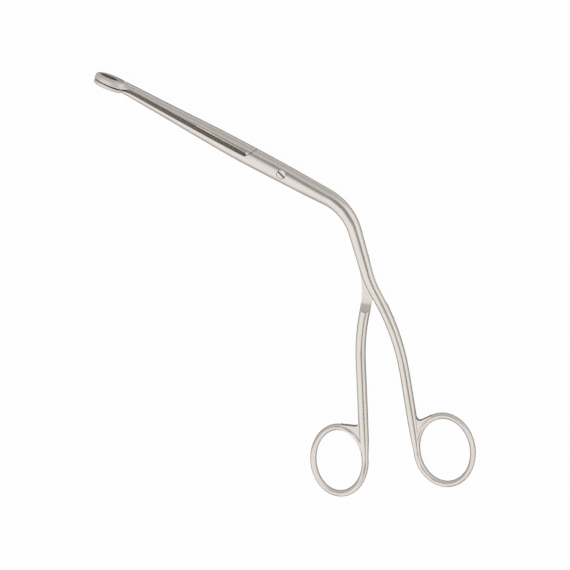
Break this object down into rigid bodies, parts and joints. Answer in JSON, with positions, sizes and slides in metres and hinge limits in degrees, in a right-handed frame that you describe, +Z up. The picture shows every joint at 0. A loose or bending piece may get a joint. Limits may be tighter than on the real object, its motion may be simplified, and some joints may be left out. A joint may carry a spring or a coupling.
{
  "type": "magill forceps",
  "caption": "Angled steel airway forceps with finger rings, a screwed lap joint and long slender jaws ending in serrated oval loops.",
  "frame": {"origin": "bottom centre of the closed forceps' box, lying flat", "axes": "+X from the jaw tips towards the handles along the jaws, +Y across the jaws in the plane of motion, away from the side that the handles bend to, +Z up along the pivot screw towards its slotted head"},
  "size_m": [0.238, 0.1322, 0.0088],
  "materials": {
    "front_arm_steel": "satin",
    "back_arm_steel": "satin",
    "screw_steel": "satin"
  },
  "bodies": {
    "back_half": {"back_arm": "back_arm_steel", "pivot_screw": "screw_steel"},
    "front_half": {"front_arm": "front_arm_steel"}
  },
  "joints": [
    {"name": "pivot", "type": "hinge", "parent": "back_half", "child": "front_half", "pos_m": [-0.02227, 0.06128, 0.0044], "axis": [0, 0, 1], "range_deg": [0, 28]}
  ]
}
